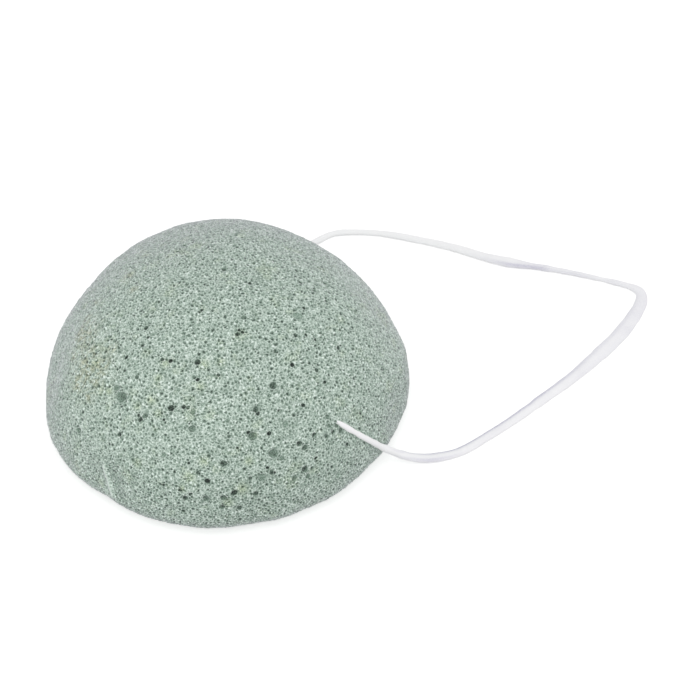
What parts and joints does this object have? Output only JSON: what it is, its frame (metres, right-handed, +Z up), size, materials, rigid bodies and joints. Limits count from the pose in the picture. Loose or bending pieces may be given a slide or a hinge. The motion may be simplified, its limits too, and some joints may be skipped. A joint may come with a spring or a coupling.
{
  "type": "konjac sponge",
  "caption": "Half-ball konjac face sponge with a flat face, threaded on a loop of soft white cord that is joined by a reef knot.",
  "frame": {"origin": "middle of the sponge's flat face", "axes": "+Z up through the dome from the flat face; +X towards the far end of the cord loop; the cord's channel runs along Y"},
  "size_m": [0.1409, 0.0863, 0.036],
  "materials": {
    "foam": "soft open-celled konjac foam, moist and matt, grey-green from green clay",
    "cord": "soft white cotton cord, matt"
  },
  "bodies": {
    "root": {"sponge": "foam", "cord_inside": "cord", "cord_loop": "cord", "cord_return": "cord", "knot_return_end": "cord", "knot_loop_end": "cord"}
  },
  "joints": []
}
